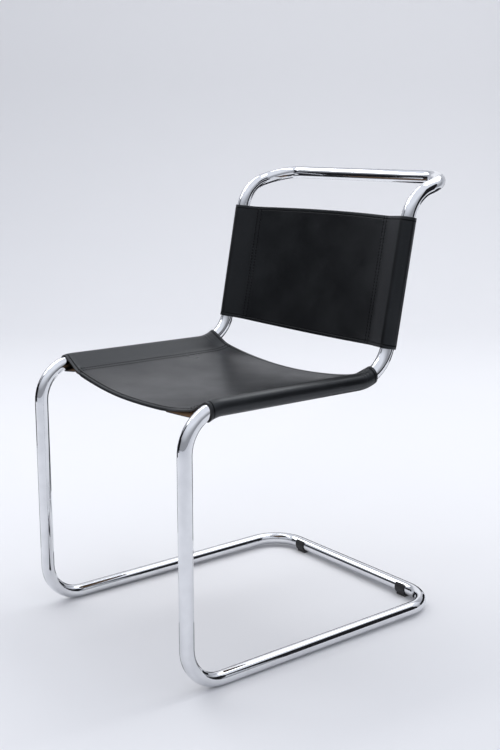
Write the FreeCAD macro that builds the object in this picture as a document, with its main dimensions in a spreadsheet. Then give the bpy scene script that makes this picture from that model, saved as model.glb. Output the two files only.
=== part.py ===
import FreeCAD, Part
import math
import os

import Sketcher
from FreeCAD import Placement, Rotation, Vector

# Cantilever chair: one loop of bent steel tube carries a leather seat and a leather back.
# Millimetres. +Z is up, the sitter faces -Y, and +X is the sitter's left.
# The origin lies on the floor, under the middle of the chair.

doc = FreeCAD.newDocument("cantilever_chair")

# Driving dimensions
sheet = doc.addObject("Spreadsheet::Sheet", "sizes")
SIZES = [
    ("tube_diameter", 25.0, "outside of the bent tube"),
    ("tube_wall", 2.0, "wall of the bent tube"),
    ("frame_width", 500.0, "overall, across the two side frames"),
    ("frame_height", 840.0, "floor to the top of the top bar"),
    ("frame_depth", 617.0, "front of the legs to the back of the top bar"),
    ("floor_bar_setback", 586.0, "front leg centre to rear floor bar centre"),
    ("floor_bar_lift", 4.0, "rear floor bar above the floor, on its glides"),
    ("seat_rail_height", 480.0, "floor to the centre of the seat rails"),
    ("seat_rail_run", 430.0, "front leg centre to the foot of the uprights"),
    ("back_recline", 10.5, "degrees, uprights off the vertical"),
    ("top_rise", 28.0, "rise of the swept-back top of the frame"),
    ("front_bend", 70.0, "centreline radius of the four front bends"),
    ("seat_bend", 75.0, "centreline radius of the bends behind the seat"),
    ("top_bend", 70.0, "centreline radius of the bends above the back"),
    ("top_corner", 60.0, "centreline radius of the top bar corners"),
    ("floor_corner", 70.0, "centreline radius of the rear floor corners"),
    ("joint_half_span", 154.0, "middle of the chair to a joint in the floor bar"),
    ("plug_diameter", 20.6, "spigot inside each joint"),
    ("plug_length", 60.0, "spigot inside each joint"),
    ("plug_in_corner", 15.0, "part of the spigot in the bent tube"),
    ("plug_chamfer", 1.5, "lead-in of the spigot"),
    ("screw_offset", 6.5, "joint to the screw on each side of it"),
    ("screw_diameter", 3.0, "countersunk screw"),
    ("screw_head", 5.5, "countersunk screw head, across"),
    ("screw_head_depth", 1.6, "countersunk screw head, along"),
    ("screw_sink", 0.35, "head below the lowest line of the tube"),
    ("screw_length", 8.0, "countersunk screw, overall"),
    ("screw_socket", 2.0, "across the flats of the key socket"),
    ("screw_socket_depth", 1.3, "key socket, along"),
    ("screw_play", 0.1, "screw to its hole, all round"),
    ("thread_play", 0.05, "screw to its tapped hole, all round"),
    ("tap_overrun", 1.0, "tapped hole beyond the screw's end"),
    ("glide_length", 23.0, "clip-on glide, along the bar"),
    ("glide_wall", 2.2, "clip-on glide"),
    ("glide_play", 0.1, "glide to tube, all round"),
    ("glide_mouth", 110.0, "degrees, open top of the glide"),
    ("glide_lean", 10.0, "degrees, mouth of the glide turned to the rear"),
    ("glide_sole", 17.0, "width of the flat sole"),
    ("glide_edge", 0.7, "bevel of the glide's edges"),
    ("leather", 2.8, "thickness of the hide"),
    ("leather_gap", 0.2, "hide to tube"),
    ("seat_joint", 43.5, "tube centre to the end of the pocket, where the panel begins"),
    ("seat_flap", 61.5, "tube centre to the cut edge of the flap"),
    ("seat_pocket_run", 41.5, "tube centre to where the two layers meet, inward"),
    ("seat_pocket_fall", 7.1, "tube centre to where the two layers meet, into the hollow"),
    ("back_joint", 46.5, "tube centre to the end of the pocket, where the panel begins"),
    ("back_flap", 64.5, "tube centre to the cut edge of the flap"),
    ("back_pocket_run", 44.5, "tube centre to where the two layers meet, inward"),
    ("back_pocket_fall", 1.4, "tube centre to where the two layers meet, into the hollow"),
    ("flap_start", 2.0, "end of the pocket to the place where the flap leaves the panel"),
    ("panel_overlap", 3.0, "panel beyond the joint, inside the pocket's skin"),
    ("seat_front_wrap", 17.5, "degrees of the front bend that the seat covers"),
    ("seat_rear_wrap", 31.5, "degrees of the rear bend that the seat covers"),
    ("seat_front_dip", 16.0, "joint to the middle of the front edge, down"),
    ("seat_middle_dip", 19.5, "joint to the middle of the seat, down"),
    ("seat_rear_dip", 19.5, "joint to the middle of the rear edge, down"),
    ("seat_front_pull", 4.5, "joint to the middle of the front edge, forward"),
    ("seat_rear_pull", 11.0, "joint to the middle of the rear edge, forward"),
    ("back_low_wrap", 7.5, "degrees of the seat bend that the back covers"),
    ("back_high_wrap", 3.5, "degrees of the top bend that the back covers"),
    ("back_edge_dip", 18.3, "joint to the middle of the back's edges, rearward"),
    ("back_middle_dip", 21.5, "joint to the middle of the back, rearward"),
]
for row, (alias, value, note) in enumerate(SIZES, start=1):
    sheet.set(f"A{row}", str(value))
    sheet.set(f"B{row}", note)
    sheet.setAlias(f"A{row}", alias)
doc.recompute()


def size(alias):
    return float(sheet.get(alias))


def bind(obj, **formulas):
    for prop, formula in formulas.items():
        obj.setExpression(prop, formula)


# Corner points of the bent tube
tube_radius = size("tube_diameter") / 2
half_width = size("frame_width") / 2 - tube_radius
leg_y = tube_radius - size("frame_depth") / 2
top_bar_y = size("frame_depth") / 2 - tube_radius
top_bar_z = size("frame_height") - tube_radius
floor_bar_y = leg_y + size("floor_bar_setback")
floor_bar_z = tube_radius + size("floor_bar_lift")

# The floor rails touch the floor where the front bends run out, and rise to the glides
rail_slope = size("floor_bar_lift") / (size("floor_bar_setback") - size("front_bend"))
rail_corner_z = floor_bar_z - rail_slope * size("floor_bar_setback")

seat_z = size("seat_rail_height")
back_foot_y = leg_y + size("seat_rail_run")
back_head_z = top_bar_z - size("top_rise")
back_head_y = back_foot_y + (back_head_z - seat_z) * math.tan(math.radians(size("back_recline")))


def side_corners(side):
    """Corner points of one side frame with their radii, from the floor bar up to the top bar."""
    x = side * half_width
    return [
        (Vector(x, floor_bar_y, floor_bar_z), size("floor_corner")),
        (Vector(x, leg_y, rail_corner_z), size("front_bend")),
        (Vector(x, leg_y, seat_z), size("front_bend")),
        (Vector(x, back_foot_y, seat_z), size("seat_bend")),
        (Vector(x, back_head_y, back_head_z), size("top_bend")),
        (Vector(x, top_bar_y, top_bar_z), size("top_corner")),
    ]


class Bend:
    """The arc that rounds one corner, tangent to both straight runs."""

    def __init__(self, before, corner, after, radius):
        to_before = (before - corner).normalize()
        to_after = (after - corner).normalize()
        to_centre = (to_before + to_after).normalize()
        half_angle = to_before.getAngle(to_after) / 2
        self.start = corner + to_before * (radius / math.tan(half_angle))
        self.end = corner + to_after * (radius / math.tan(half_angle))
        self.centre = corner + to_centre * (radius / math.sin(half_angle))
        self.middle = self.centre - to_centre * radius


def rounded_path(start, corners, end):
    """Straight runs joined by tangent arcs, as a tube bender makes them."""
    points = [start] + [corner for corner, _ in corners] + [end]
    edges = []
    here = start
    for i, (corner, radius) in enumerate(corners, start=1):
        bend = Bend(points[i - 1], corner, points[i + 1], radius)
        edges.append(Part.LineSegment(here, bend.start).toShape())
        edges.append(Part.Arc(bend.start, bend.middle, bend.end).toShape())
        here = bend.end
    edges.append(Part.LineSegment(here, end).toShape())
    return Part.Wire(edges)


def shape_feature(name, shape):
    obj = doc.addObject("Part::Feature", name)
    obj.Shape = shape
    return obj


def sweep(name, section, spine):
    obj = doc.addObject("Part::Sweep", name)
    obj.Sections = [section]
    obj.Spine = (spine, [f"Edge{i + 1}" for i in range(len(spine.Shape.Edges))])
    obj.Solid = True
    return obj


def cylinder(name, radius, height, place):
    obj = doc.addObject("Part::Cylinder", name)
    bind(obj, Radius=radius, Height=height)
    obj.Placement = place
    return obj


def fuse(name, pieces):
    obj = doc.addObject("Part::MultiFuse", name)
    obj.Shapes = pieces
    return obj


def cut(name, base, tools):
    obj = doc.addObject("Part::Cut", name)
    obj.Base = base
    obj.Tool = tools[0] if len(tools) == 1 else fuse(name + "_tools", tools)
    return obj


# Centreline of the loop, open between the two joints in the floor bar
joint_x = size("joint_half_span")
joint_left = Vector(joint_x, floor_bar_y, floor_bar_z)
joint_right = Vector(-joint_x, floor_bar_y, floor_bar_z)
loop_corners = side_corners(1) + list(reversed(side_corners(-1)))
centreline = shape_feature("frame_centreline", rounded_path(joint_left, loop_corners, joint_right))
along_bar = Rotation(Vector(0, 0, 1), Vector(1, 0, 0))


def swept_bar(name, radius):
    """A round bar along the whole centreline."""
    ring = doc.addObject("Part::Circle", name + "_ring")
    bind(ring, Radius=radius)
    ring.Placement = Placement(joint_left, along_bar)
    return sweep(name, ring, centreline)


# Countersunk screws, two at each joint, driven from below
head_face_z = floor_bar_z - tube_radius + size("screw_sink")
screw_places = [
    Placement(Vector(side * joint_x + step * size("screw_offset"), floor_bar_y, head_face_z), Rotation())
    for side in (1, -1)
    for step in (-1, 1)
]


def countersunk(name, place, play):
    """Cone head and shank, grown all round by the play."""
    head = doc.addObject("Part::Cone", name + "_head")
    bind(
        head,
        Radius1=f"sizes.screw_head / 2 + {play}",
        Radius2=f"sizes.screw_diameter / 2 + {play}",
        Height="sizes.screw_head_depth",
    )
    head.Placement = place
    shank = cylinder(name + "_shank", f"sizes.screw_diameter / 2 + {play}", "sizes.screw_length", place)
    return [head, shank]


def screw_hole(name, place):
    """Countersunk hole, open down through the curve of the tube."""
    well_place = Placement(place.Base - Vector(0, 0, tube_radius / 2), place.Rotation)
    well_radius = "sizes.screw_head / 2 + sizes.screw_play"
    well = cylinder(name + "_well", well_radius, "sizes.tube_diameter / 4", well_place)
    return [well] + countersunk(name, place, "sizes.screw_play")


screws = []
for i, place in enumerate(screw_places):
    socket = doc.addObject("Part::Prism", f"screw_{i}_socket")
    socket.Polygon = 6
    bind(socket, Circumradius="sizes.screw_socket / sqrt(3)", Height="sizes.screw_socket_depth")
    socket.Placement = place
    blank = fuse(f"screw_{i}_blank", countersunk(f"screw_{i}", place, "0"))
    screws.append(cut(f"screw_{i}", blank, [socket]))
plug_screws = doc.addObject("Part::Compound", "plug_screws")
plug_screws.Links = screws

# The bent tube, with a screw hole near each end
corner_holes = []
bar_holes = []
for i, place in enumerate(screw_places):
    hole = screw_hole(f"hole_{i}", place)
    if abs(place.Base.x) > joint_x:
        corner_holes += hole
    else:
        bar_holes += hole
outer_bar = swept_bar("bent_outside", "sizes.tube_diameter / 2")
inner_bar = swept_bar("bent_inside", "sizes.tube_diameter / 2 - sizes.tube_wall")
frame_tube = cut("frame_tube", outer_bar, [inner_bar] + corner_holes)

# The straight tube that closes the loop on the floor
bar_place = Placement(joint_right, along_bar)
bar_outside = cylinder("bar_outside", "sizes.tube_diameter / 2", "2 * sizes.joint_half_span", bar_place)
bar_bore = cylinder(
    "bar_bore", "sizes.tube_diameter / 2 - sizes.tube_wall", "2 * sizes.joint_half_span", bar_place
)
rear_floor_bar = cut("rear_floor_bar", bar_outside, [bar_bore] + bar_holes)


def polar(radius, angle):
    return Vector(radius * math.cos(angle), radius * math.sin(angle), 0)


def new_body(name, place):
    body = doc.addObject("PartDesign::Body", name)
    body.Placement = place
    return body


def new_sketch(body, name, role):
    """An empty sketch on one of the body's own origin planes."""
    plane = next(feature for feature in body.Origin.OriginFeatures if feature.Role == role)
    sketch = body.newObject("Sketcher::SketchObject", name)
    sketch.AttachmentSupport = [(plane, "")]
    sketch.MapMode = "FlatFace"
    return sketch


def add_circle(sketch, formula):
    """A circle on the sketch's origin whose radius follows the sheet."""
    sketch.addGeometry(Part.Circle(Vector(), Vector(0, 0, 1), 1))
    sketch.addConstraint(Sketcher.Constraint("Coincident", 0, 3, -1, 1))
    radius = sketch.addConstraint(Sketcher.Constraint("Radius", 0, 1))
    sketch.setExpression(f"Constraints[{radius}]", formula)


def add_outline(sketch, points):
    """A closed outline of straight sides."""
    for start, end in zip(points, points[1:] + points[:1]):
        sketch.addGeometry(Part.LineSegment(Vector(*start, 0), Vector(*end, 0)))


def extrude(body, kind, name, sketch, formula):
    """A pad or pocket that reaches equally far to both sides of its sketch."""
    feature = body.newObject(kind, name)
    feature.Profile = sketch
    feature.SideType = "Symmetric"
    feature.setExpression("Length", formula)
    return feature


# Spigots: turned bars with chamfered ends and a tapped hole for each screw
def joint_plug(side, name):
    middle_x = joint_x + size("plug_in_corner") - size("plug_length") / 2
    middle = Vector(side * middle_x, floor_bar_y, floor_bar_z)
    body = new_body(name + "_blank", Placement(middle, Rotation()))
    round_sketch = new_sketch(body, name + "_round", "YZ_Plane")
    add_circle(round_sketch, "sizes.plug_diameter / 2")
    bar = extrude(body, "PartDesign::Pad", name + "_bar", round_sketch, "sizes.plug_length")
    doc.recompute()
    rims = [f"Edge{i + 1}" for i, edge in enumerate(bar.Shape.Edges) if edge.isClosed()]
    chamfer = body.newObject("PartDesign::Chamfer", name + "_lead_in")
    chamfer.Base = (bar, rims)
    chamfer.setExpression("Size", "sizes.plug_chamfer")
    body.Tip = chamfer
    tap_radius = "sizes.screw_diameter / 2 + sizes.thread_play"
    tap_depth = "sizes.screw_length + sizes.tap_overrun"
    taps = [
        cylinder(f"{name}_tap_{i}", tap_radius, tap_depth, place)
        for i, place in enumerate(screw_places)
        if place.Base.x * side > 0
    ]
    return cut(name, body, taps)


joint_plug_left = joint_plug(1, "joint_plug_left")
joint_plug_right = joint_plug(-1, "joint_plug_right")


# Glides: plastic clips that snap over the floor bar from below and hide the joints
def floor_glide(side, name):
    body = new_body(name, Placement(Vector(side * joint_x, floor_bar_y, floor_bar_z), Rotation()))

    round_sketch = new_sketch(body, name + "_round", "YZ_Plane")
    add_circle(round_sketch, "sizes.tube_diameter / 2 + sizes.glide_play + sizes.glide_wall")
    extrude(body, "PartDesign::Pad", name + "_ring", round_sketch, "sizes.glide_length")

    # The foot fills the ring down to a flat sole on the floor
    foot_sketch = new_sketch(body, name + "_foot_outline", "YZ_Plane")
    half_sole = size("glide_sole") / 2
    foot = [(-half_sole, -floor_bar_z), (half_sole, -floor_bar_z), (half_sole, 0), (-half_sole, 0)]
    add_outline(foot_sketch, foot)
    extrude(body, "PartDesign::Pad", name + "_foot", foot_sketch, "sizes.glide_length")

    bore_sketch = new_sketch(body, name + "_bore_outline", "YZ_Plane")
    add_circle(bore_sketch, "sizes.tube_diameter / 2 + sizes.glide_play")
    extrude(body, "PartDesign::Pocket", name + "_bore", bore_sketch, "sizes.glide_length * 2")

    # The open mouth is a wedge with its point on the tube's axis, leaning to the rear
    mouth_sketch = new_sketch(body, name + "_mouth_outline", "YZ_Plane")
    reach = 2 * size("tube_diameter")
    lean = math.radians(90 - size("glide_lean"))
    half_mouth = math.radians(size("glide_mouth") / 2)
    lips = [polar(reach, lean + turn * half_mouth) for turn in (-1, 1)]
    add_outline(mouth_sketch, [(0, 0)] + [(lip.x, lip.y) for lip in lips])
    mouth = extrude(body, "PartDesign::Pocket", name + "_mouth", mouth_sketch, "sizes.glide_length * 2")
    doc.recompute()

    # Bevel the outside rims at both ends
    middle_radius = tube_radius + size("glide_play") + size("glide_wall") / 2
    rims = []
    for i, edge in enumerate(mouth.Shape.Edges):
        at_end = edge.BoundBox.XLength < size("glide_play")
        outside = math.hypot(edge.CenterOfMass.y, edge.CenterOfMass.z) > middle_radius
        on_wall = len(edge.Vertexes) == 2 and edge.Length > size("glide_wall") * 2
        if at_end and outside and on_wall:
            rims.append(f"Edge{i + 1}")
    bevel = body.newObject("PartDesign::Chamfer", name + "_bevel")
    bevel.Base = (mouth, rims)
    bevel.setExpression("Size", "sizes.glide_edge")
    body.Tip = bevel
    return body


floor_glide_left = floor_glide(1, "floor_glide_left")
floor_glide_right = floor_glide(-1, "floor_glide_right")


def turned(point, centre, degrees):
    """The point carried round a bend, about an axis parallel to X."""
    return centre + Rotation(Vector(1, 0, 0), degrees).multVec(point - centre)


class Run:
    """A straight run of the left side frame with the bits of bend that the leather covers."""

    def __init__(self, foot_bend, foot_turn, head_bend, head_turn):
        self.foot = foot_bend.end
        self.head = head_bend.start
        self.foot_centre = foot_bend.centre
        self.head_centre = head_bend.centre
        self.foot_turn = foot_turn
        self.head_turn = head_turn
        self.along = (self.head - self.foot).normalize()
        self.face = Vector(1, 0, 0).cross(self.along)

    def path(self):
        low = [turned(self.foot, self.foot_centre, self.foot_turn * part) for part in (1, 0.5)]
        high = [turned(self.head, self.head_centre, self.head_turn * part) for part in (0.5, 1)]
        edges = [
            Part.Arc(low[0], low[1], self.foot),
            Part.LineSegment(self.foot, self.head),
            Part.Arc(self.head, high[0], high[1]),
        ]
        return Part.Wire([edge.toShape() for edge in edges])

    def stations(self):
        """Points along the run, each with the direction out of the leather's face."""
        found = []
        for part in (1, 0.5):
            angle = self.foot_turn * part
            face = Rotation(Vector(1, 0, 0), angle).multVec(self.face)
            found.append((turned(self.foot, self.foot_centre, angle), face))
        for part in (0, 0.25, 0.5, 0.75, 1):
            found.append((self.foot + (self.head - self.foot) * part, self.face))
        for part in (0.5, 1):
            angle = self.head_turn * part
            face = Rotation(Vector(1, 0, 0), angle).multVec(self.face)
            found.append((turned(self.head, self.head_centre, angle), face))
        return found


def on_line(point, direction, u):
    """Where a line of the section reaches the given u."""
    return point + direction * ((u - point.x) / direction.x)


def arc_between(start, end, towards):
    """An arc round the tube's axis from start to end that passes on the given side."""
    middle = (start + end).normalize() * start.Length
    if middle.dot(towards) < 0:
        middle = -middle
    return (start, middle, end)


class Pocket:
    """Section of a sewn pocket round a tube: u runs inward from the tube, v out of the face."""

    def __init__(self, kind):
        inner_radius = tube_radius + size("leather_gap")
        radii = (inner_radius, inner_radius + size("leather"))
        self.apex = Vector(size(kind + "_pocket_run"), -size(kind + "_pocket_fall"), 0)
        apex_angle = math.atan2(self.apex.y, self.apex.x)
        open_angle = math.acos(inner_radius / self.apex.Length)
        self.upper = [polar(radius, apex_angle + open_angle) for radius in radii]
        self.lower = [polar(radius, apex_angle - open_angle) for radius in radii]
        self.away = [polar(radius, apex_angle + math.pi) for radius in radii]
        self.upper_way = (self.apex - self.upper[0]).normalize()
        self.lower_way = (self.apex - self.lower[0]).normalize()
        self.joint = on_line(self.upper[1], self.upper_way, size(kind + "_joint"))
        self.flap_end = size(kind + "_flap")
        self.half_panel = half_width - size(kind + "_joint")

    def hollow(self):
        """Outline of the opening, as the end points of its lines and arcs."""
        return [
            (self.upper[0], self.apex),
            (self.apex, self.lower[0]),
            arc_between(self.lower[0], self.away[0], self.lower[0]),
            arc_between(self.away[0], self.upper[0], self.upper[0]),
        ]

    def skin(self, flap_angle):
        """Outline of the hide round the opening, with the flap that is sewn under the panel."""
        flap_way = polar(1, -flap_angle)
        flap_face = polar(1, math.pi / 2 - flap_angle)
        flap_top = on_line(self.upper[1], self.upper_way, self.joint.x + size("flap_start"))
        flap_top_end = on_line(flap_top, flap_way, self.flap_end)
        under = self.joint - flap_face * (2 * size("leather"))
        flap_under_end = on_line(under, flap_way, self.flap_end)
        crossing = (under - self.lower[1]).cross(flap_way).z / self.lower_way.cross(flap_way).z
        heel = self.lower[1] + self.lower_way * crossing
        return [
            (self.upper[1], flap_top),
            (flap_top, flap_top_end),
            (flap_top_end, flap_under_end),
            (flap_under_end, heel),
            (heel, self.lower[1]),
            arc_between(self.lower[1], self.away[1], self.lower[1]),
            arc_between(self.away[1], self.upper[1], self.upper[1]),
        ]


def section_wire(outline, station, side):
    """The outline set up square to the tube at a station."""
    centre, face = station
    edges = []
    for points in outline:
        across = [Vector(side * (centre.x - point.x), centre.y, centre.z) for point in points]
        placed = [foot + face * point.y for foot, point in zip(across, points)]
        edge = Part.Arc(*placed) if len(placed) == 3 else Part.LineSegment(*placed)
        edges.append(edge.toShape())
    return Part.Wire(edges)


def through_three(points, part):
    """A parabola through the first, middle and last point."""
    weights = ((1 - part) * (1 - 2 * part), 4 * part * (1 - part), part * (2 * part - 1))
    return sum((point * weight for point, weight in zip(points, weights)), Vector())


def band(edge_point, middle_point, face, half_panel):
    """Section of the sagging panel: two parallel arcs from side to side."""
    sag = middle_point - edge_point
    down = Vector(sag).normalize()
    radius = (half_panel**2 + sag.Length**2) / (2 * sag.Length)
    centre = middle_point - down * radius
    reach = half_panel + size("panel_overlap")
    drop = down * math.sqrt(radius**2 - reach**2)
    thickness = down * (size("leather") / abs(down.dot(face)))
    left = centre + drop + Vector(reach, 0, 0)
    right = centre + drop - Vector(reach, 0, 0)
    edges = [
        Part.Arc(left, middle_point, right),
        Part.LineSegment(right, right + thickness),
        Part.Arc(right + thickness, middle_point + thickness, left + thickness),
        Part.LineSegment(left + thickness, left),
    ]
    return Part.Wire([edge.toShape() for edge in edges])


def sling(name, run, pocket, dips, pulls):
    """A hide hung between two tubes: a sewn pocket round each, and a sagging panel between."""
    stations = run.stations()
    flap_angle = 2 * sum(dips) / len(dips) / pocket.half_panel
    outlines = {"pocket": pocket.skin(flap_angle), "opening": pocket.hollow()}
    swept = {"pocket": [], "opening": []}
    for side, word in ((1, "left"), (-1, "right")):
        path = run.path()
        if side < 0:
            path = path.mirror(Vector(), Vector(1, 0, 0))
        spine = shape_feature(f"{name}_{word}_path", path)
        for kind, outline in outlines.items():
            wire = section_wire(outline, stations[0], side)
            section = shape_feature(f"{name}_{word}_{kind}_section", wire)
            swept[kind].append(sweep(f"{name}_{word}_{kind}", section, spine))

    # The panel is lofted through bands that follow the joint, sagging most in the middle
    joint_line = [Vector(0, centre.y, centre.z) + face * pocket.joint.y for centre, face in stations]
    thirds = [joint_line[0], joint_line[len(joint_line) // 2], joint_line[-1]]
    middles = [point + run.along * pull - run.face * dip for point, pull, dip in zip(thirds, pulls, dips)]
    lengths = [0.0]
    for start, end in zip(joint_line, joint_line[1:]):
        lengths.append(lengths[-1] + (end - start).Length)
    bands = []
    for i, (point, length) in enumerate(zip(joint_line, lengths)):
        middle = through_three(middles, length / lengths[-1])
        bands.append(shape_feature(f"{name}_band_{i}", band(point, middle, run.face, pocket.half_panel)))
    panel = doc.addObject("Part::Loft", name + "_panel")
    panel.Sections = bands
    panel.Solid = True
    hide = fuse(name + "_hide", [panel] + swept["pocket"])
    return cut(name, hide, swept["opening"])


# Bends of the left side frame that the leather reaches
left = [corner for corner, _ in side_corners(1)]
front_bend = Bend(left[1], left[2], left[3], size("front_bend"))
seat_bend = Bend(left[2], left[3], left[4], size("seat_bend"))
top_bend = Bend(left[3], left[4], left[5], size("top_bend"))

seat_run = Run(front_bend, size("seat_front_wrap"), seat_bend, size("seat_rear_wrap"))
back_run = Run(seat_bend, -size("back_low_wrap"), top_bend, -size("back_high_wrap"))
seat_sling = sling(
    "seat_sling",
    seat_run,
    Pocket("seat"),
    [size("seat_front_dip"), size("seat_middle_dip"), size("seat_rear_dip")],
    [-size("seat_front_pull"), 0, -size("seat_rear_pull")],
)
back_sling = sling(
    "back_sling",
    back_run,
    Pocket("back"),
    [size("back_edge_dip"), size("back_middle_dip"), size("back_edge_dip")],
    [0, 0, 0],
)
doc.recompute()

NODES = [
    frame_tube,
    rear_floor_bar,
    joint_plug_left,
    joint_plug_right,
    plug_screws,
    floor_glide_left,
    floor_glide_right,
    seat_sling,
    back_sling,
]
failed = [obj.Name for obj in doc.Objects if "Invalid" in obj.State or "Error" in obj.State]
if failed:
    raise RuntimeError(f"failed objects: {failed}")
for node in NODES:
    node.Label = node.Name
    if node.Shape.isNull() or not node.Shape.isValid():
        raise RuntimeError(f"bad shape: {node.Label}")

# The tube's volume is its section times its length
tube_section = math.pi * (tube_radius**2 - (tube_radius - size("tube_wall")) ** 2)
tube_length = frame_tube.Shape.Volume / tube_section
print(f"centreline {centreline.Shape.Length:.1f} mm, volume over section {tube_length:.1f} mm")

os.makedirs("parts", exist_ok=True)
for node in NODES:
    shape = node.Shape
    shape.exportStep(os.path.join("parts", node.Label + ".step"))
    box = shape.BoundBox
    low, high = [f"{corner.x:.1f} {corner.y:.1f} {corner.z:.1f}" for corner in (
        Vector(box.XMin, box.YMin, box.ZMin),
        Vector(box.XMax, box.YMax, box.ZMax),
    )]
    print(f"{node.Label}: {len(shape.Solids)} solid, {shape.Volume / 1000:.1f} cm3, {low} to {high}")
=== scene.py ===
# %% [markdown]
# A cantilever chair: a loop of chromed steel tube carries a seat and a back of black saddle leather.
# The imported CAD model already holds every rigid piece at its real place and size.
# Here the steel and the plastic get their finish, and the two hides are cut, sewn and hung over the tube.

import math

import bpy
import numpy as np
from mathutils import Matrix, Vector


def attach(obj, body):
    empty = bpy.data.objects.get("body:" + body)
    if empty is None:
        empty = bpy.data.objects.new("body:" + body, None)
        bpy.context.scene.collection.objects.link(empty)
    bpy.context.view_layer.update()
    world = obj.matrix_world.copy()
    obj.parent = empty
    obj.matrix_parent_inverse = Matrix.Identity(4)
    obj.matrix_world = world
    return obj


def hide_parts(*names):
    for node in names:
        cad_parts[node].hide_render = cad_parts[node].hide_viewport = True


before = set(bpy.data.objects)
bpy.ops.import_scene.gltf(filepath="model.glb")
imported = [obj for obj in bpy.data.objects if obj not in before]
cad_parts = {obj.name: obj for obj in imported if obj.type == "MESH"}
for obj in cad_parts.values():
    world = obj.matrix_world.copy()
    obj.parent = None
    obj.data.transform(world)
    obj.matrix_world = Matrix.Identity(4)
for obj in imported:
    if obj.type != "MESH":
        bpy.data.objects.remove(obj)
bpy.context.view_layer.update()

# %% [markdown]
# The render should stand beside the photograph, so the camera comes first.
# Its place and lens were worked out from the outline of the tube in the photograph.
# A Track To constraint could aim it, but a plain rotation from the view direction needs nothing else.

# %% Camera
FRAME_SIDE_MM = 36.0
FOCAL_MM = 54.65
eye = Vector((1.6603, -1.2707, 0.9060))
target = Vector((0.0313, -0.0057, 0.4684))
camera_data = bpy.data.cameras.new("camera")
camera_data.sensor_width = FRAME_SIDE_MM
camera_data.lens = FOCAL_MM
camera = bpy.data.objects.new("camera", camera_data)
camera.location = eye
camera.rotation_euler = (target - eye).to_track_quat("-Z", "Y").to_euler()
bpy.context.scene.collection.objects.link(camera)
bpy.context.scene.camera = camera
bpy.context.scene.view_settings.view_transform = "Standard"
print("camera is", round((target - eye).length, 3), "m from the chair")

# %% [markdown]
# A finish in Blender is a small tree of nodes. The same few steps come back in every one of them: start a
# material, add a node, spread a value over a range, calculate with two values, mix two colours, add a bump.
# A helper for each step keeps the trees short.


# %% Helpers for node trees
def new_finish(name, **sockets):
    """A material with one Principled shader whose plain values are set on its own sockets."""
    material = bpy.data.materials.new(name)
    material.use_nodes = True
    shader = material.node_tree.nodes["Principled BSDF"]
    for socket, value in sockets.items():
        shader.inputs[socket.replace("_", " ")].default_value = value
    return material, material.node_tree, shader


def add_node(tree, kind, values=None, **settings):
    """A node with its settings, and with plain values on the named input sockets."""
    node = tree.nodes.new(kind)
    for setting, value in settings.items():
        setattr(node, setting, value)
    for socket, value in (values or {}).items():
        node.inputs[socket].default_value = value
    return node


def feed(tree, value, socket):
    """Gives a socket either a plain value or another node's output."""
    if isinstance(value, bpy.types.NodeSocket):
        tree.links.new(value, socket)
    else:
        socket.default_value = value


def mask_between(tree, value, low, high, at_low=0.0, at_high=1.0):
    """Turns a value into a mask that is 0 below low and 1 above high, or runs between two other values."""
    limits = {"From Min": low, "From Max": high, "To Min": at_low, "To Max": at_high}
    ramp = add_node(tree, "ShaderNodeMapRange", limits)
    tree.links.new(value, ramp.inputs["Value"])
    return ramp.outputs["Result"]


def calculate(tree, operation, *values):
    """One step of arithmetic with numbers or with other nodes' outputs."""
    step = add_node(tree, "ShaderNodeMath", operation=operation)
    for value, socket in zip(values, step.inputs):
        feed(tree, value, socket)
    return step.outputs["Value"]


def mix_colours(tree, mask, first, second):
    """Mixes two colours; each is a colour tuple or another node's output."""
    mix = add_node(tree, "ShaderNodeMix", data_type="RGBA")
    tree.links.new(mask, mix.inputs["Factor"])
    feed(tree, first, mix.inputs[6])
    feed(tree, second, mix.inputs[7])
    return mix.outputs[2]


def parts_of(tree, vector):
    """The X, Y and Z outputs of a vector."""
    split = add_node(tree, "ShaderNodeSeparateXYZ")
    tree.links.new(vector, split.inputs["Vector"])
    return split.outputs


def object_place(tree):
    """Coordinates in the object's own metres."""
    return add_node(tree, "ShaderNodeTexCoord").outputs["Object"]


def uv_place(tree, name):
    """Coordinates of one of the piece's own UV maps."""
    return add_node(tree, "ShaderNodeUVMap", uv_map=name).outputs["UV"]


def noise(tree, scale, detail=2.0, coordinates=None):
    """Noise of the given scale, in the object's own metres unless coordinates are given."""
    node = add_node(tree, "ShaderNodeTexNoise", {"Scale": scale, "Detail": detail})
    if coordinates is None:
        coordinates = object_place(tree)
    tree.links.new(coordinates, node.inputs["Vector"])
    return node.outputs["Fac"]


def add_bump(tree, shader, height, strength, distance):
    """Puts a bump on the shader; a second call adds to the first."""
    bump = add_node(tree, "ShaderNodeBump", {"Strength": strength, "Distance": distance})
    tree.links.new(height, bump.inputs["Height"])
    before = shader.inputs["Normal"].links
    if before:
        tree.links.new(before[0].from_socket, bump.inputs["Normal"])
    tree.links.new(bump.outputs["Normal"], shader.inputs["Normal"])


def coat(nodes, material):
    """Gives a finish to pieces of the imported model."""
    for node in nodes:
        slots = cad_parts[node].data.materials
        slots.clear()
        slots.append(material)


# %% [markdown]
# The tube is plated with bright chrome. Chrome is a metal, so Metallic is 1 and the base colour is its mirror
# tint. A perfectly even mirror looks like plastic foil: real chrome carries a haze of fine wiping marks and a few
# dull spots. Noise drives the roughness between two small values, and a very weak bump bends the reflections.

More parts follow.
